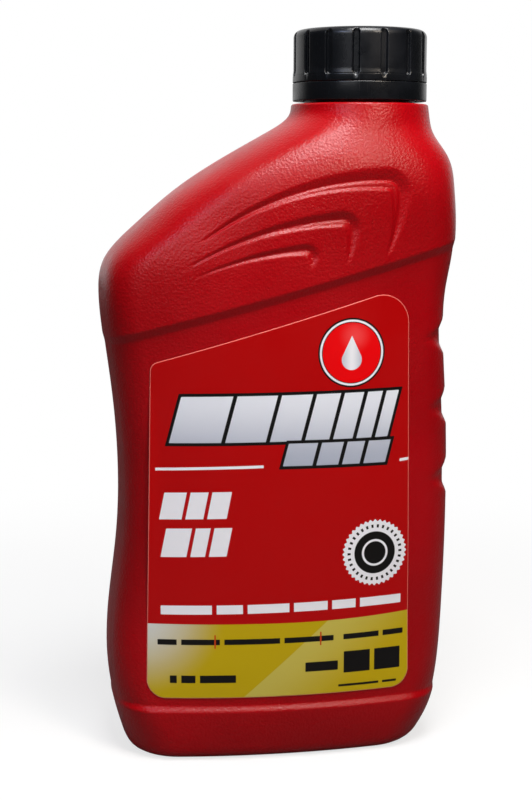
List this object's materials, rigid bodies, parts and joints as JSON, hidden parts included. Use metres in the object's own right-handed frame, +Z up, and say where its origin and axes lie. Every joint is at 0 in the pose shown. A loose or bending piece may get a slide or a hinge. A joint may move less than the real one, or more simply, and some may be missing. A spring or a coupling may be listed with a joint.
{
  "type": "motor oil bottle",
  "caption": "Handleless one-quart bottle with a sloped shoulder, offset screw neck, finger grips and a recessed label panel, closed by a fluted screw cap.",
  "frame": {"origin": "middle of the bottle's underside", "axes": "+Z up through the bottle, -Y out of the labelled front, +X towards the side with the finger grips and the neck"},
  "size_m": [0.1144, 0.061, 0.2299],
  "materials": {
    "bottle_plastic": "satin",
    "cap_plastic": "gloss",
    "liner_foam": "matte",
    "label_film": "satin"
  },
  "bodies": {
    "bottle_body": {"bottle": "bottle_plastic", "front_label": "label_film"},
    "band_body": {"tamper_band": "cap_plastic"},
    "cap_body": {"cap": "cap_plastic", "cap_liner": "liner_foam"}
  },
  "joints": [
    {"name": "cap_turn", "type": "hinge", "parent": "bottle_body", "child": "band_body", "pos_m": [0.0268, 0, 0.2105], "axis": [0, 0, 1], "range_deg": [0, 1440]},
    {"name": "cap_rise", "type": "slide", "parent": "band_body", "child": "cap_body", "axis": [0, 0, 1], "range_m": [0, 0.0168]}
  ],
  "couplings": [
    {"joint": "cap_turn", "follows": "cap_rise", "rad_per_m": 1496}
  ]
}
